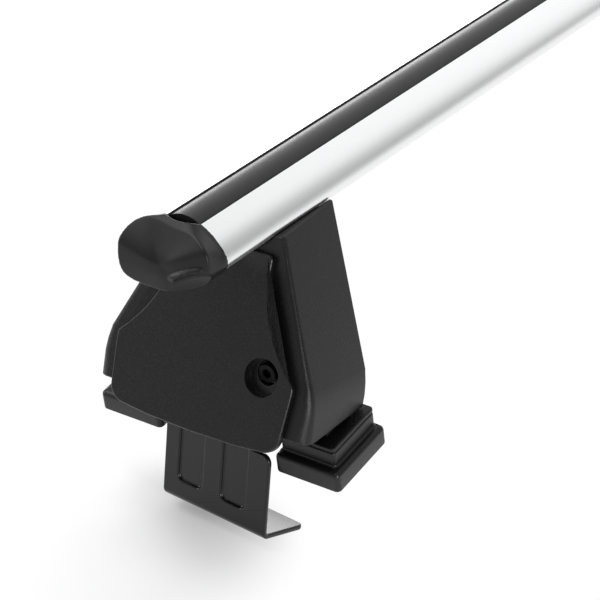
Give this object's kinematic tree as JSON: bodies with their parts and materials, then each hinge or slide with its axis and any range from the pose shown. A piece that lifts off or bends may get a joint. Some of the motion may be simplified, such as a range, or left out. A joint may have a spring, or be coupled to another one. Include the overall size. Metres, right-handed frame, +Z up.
{
  "type": "roof rack crossbar",
  "caption": "Oval aluminium roof bar with a rubber slot strip and end caps, carried on plastic feet that clamp a car roof by door frame hooks and tilting rubber pads.",
  "frame": {"origin": "centre of the crossbar's footprint, on the floor plane that both hook lips stand on", "axes": "+X along the bar from the pictured foot towards the other, +Y across the bar, +Z up"},
  "size_m": [1.242, 0.1578, 0.2018],
  "materials": {
    "anodised": "satin anodised",
    "strip_rubber": "satin",
    "cap_plastic": "satin",
    "housing_plastic": "fine grain",
    "cover_plastic": "fine grain",
    "steel": "zinc plated",
    "dark_steel": "phosphated",
    "black_coat": "gloss coat",
    "pad_rubber": "satin"
  },
  "bodies": {
    "crossbar": {"bar": "anodised", "slot_strip": "strip_rubber", "left_end_cap": "cap_plastic", "right_end_cap": "cap_plastic"},
    "left_foot": {"left_housing": "housing_plastic", "left_cover": "cover_plastic", "left_hook_shaft": "steel", "left_shaft_rings": "dark_steel", "left_fixing_bolts": "steel", "left_fixing_washers": "steel", "left_fixing_nuts": "steel", "left_clamp_washer": "steel"},
    "left_hook": {"left_hook": "black_coat", "left_hook_carrier": "dark_steel", "left_hook_rivets": "dark_steel"},
    "left_screw": {"left_clamp_screw": "steel"},
    "left_nut": {"left_barrel_nut": "dark_steel"},
    "left_fore_pad_unit": {"left_fore_pad": "pad_rubber", "left_fore_pad_carrier": "housing_plastic"},
    "left_aft_pad_unit": {"left_aft_pad": "pad_rubber", "left_aft_pad_carrier": "housing_plastic"},
    "right_foot": {"right_housing": "housing_plastic", "right_cover": "cover_plastic", "right_hook_shaft": "steel", "right_shaft_rings": "dark_steel", "right_fixing_bolts": "steel", "right_fixing_washers": "steel", "right_fixing_nuts": "steel", "right_clamp_washer": "steel"},
    "right_hook": {"right_hook": "black_coat", "right_hook_carrier": "dark_steel", "right_hook_rivets": "dark_steel"},
    "right_screw": {"right_clamp_screw": "steel"},
    "right_nut": {"right_barrel_nut": "dark_steel"},
    "right_fore_pad_unit": {"right_fore_pad": "pad_rubber", "right_fore_pad_carrier": "housing_plastic"},
    "right_aft_pad_unit": {"right_aft_pad": "pad_rubber", "right_aft_pad_carrier": "housing_plastic"}
  },
  "joints": [
    {"name": "left_foot_slide", "type": "slide", "parent": "crossbar", "child": "left_foot", "axis": [1, 0, 0], "range_m": [-0.02, 0.15]},
    {"name": "left_hook_swing", "type": "hinge", "parent": "left_foot", "child": "left_hook", "pos_m": [-0.55292, 0, 0.09034], "axis": [0, 1, 0], "range_deg": [-8, 6]},
    {"name": "left_screw_turn", "type": "hinge", "parent": "left_foot", "child": "left_screw", "pos_m": [-0.58072, -0.0364, 0.11314], "axis": [1, 0, 0], "range_deg": [-1200, 1200]},
    {"name": "left_nut_travel", "type": "slide", "parent": "left_foot", "child": "left_nut", "axis": [1, 0, 0], "range_m": [-0.004, 0.004]},
    {"name": "left_fore_pad_tilt", "type": "hinge", "parent": "left_foot", "child": "left_fore_pad_unit", "pos_m": [-0.55292, 0.05735, 0.09034], "axis": [0, 1, 0], "range_deg": [-1.5, 14]},
    {"name": "left_aft_pad_tilt", "type": "hinge", "parent": "left_foot", "child": "left_aft_pad_unit", "pos_m": [-0.55292, -0.05735, 0.09034], "axis": [0, 1, 0], "range_deg": [-1.5, 14]},
    {"name": "right_foot_slide", "type": "slide", "parent": "crossbar", "child": "right_foot", "axis": [-1, 0, 0], "range_m": [-0.02, 0.15]},
    {"name": "right_hook_swing", "type": "hinge", "parent": "right_foot", "child": "right_hook", "pos_m": [0.55292, 0, 0.09034], "axis": [0, -1, 0], "range_deg": [-8, 6]},
    {"name": "right_screw_turn", "type": "hinge", "parent": "right_foot", "child": "right_screw", "pos_m": [0.58072, 0.0364, 0.11314], "axis": [-1, 0, 0], "range_deg": [-1200, 1200]},
    {"name": "right_nut_travel", "type": "slide", "parent": "right_foot", "child": "right_nut", "axis": [-1, 0, 0], "range_m": [-0.004, 0.004]},
    {"name": "right_fore_pad_tilt", "type": "hinge", "parent": "right_foot", "child": "right_fore_pad_unit", "pos_m": [0.55292, 0.05735, 0.09034], "axis": [0, -1, 0], "range_deg": [-1.5, 14]},
    {"name": "right_aft_pad_tilt", "type": "hinge", "parent": "right_foot", "child": "right_aft_pad_unit", "pos_m": [0.55292, -0.05735, 0.09034], "axis": [0, -1, 0], "range_deg": [-1.5, 14]}
  ],
  "couplings": [
    {"joint": "left_nut_travel", "follows": "left_hook_swing", "m_per_rad": 0.0228},
    {"joint": "left_screw_turn", "follows": "left_hook_swing", "ratio": -143.26},
    {"joint": "right_nut_travel", "follows": "right_hook_swing", "m_per_rad": 0.0228},
    {"joint": "right_screw_turn", "follows": "right_hook_swing", "ratio": -143.26}
  ]
}
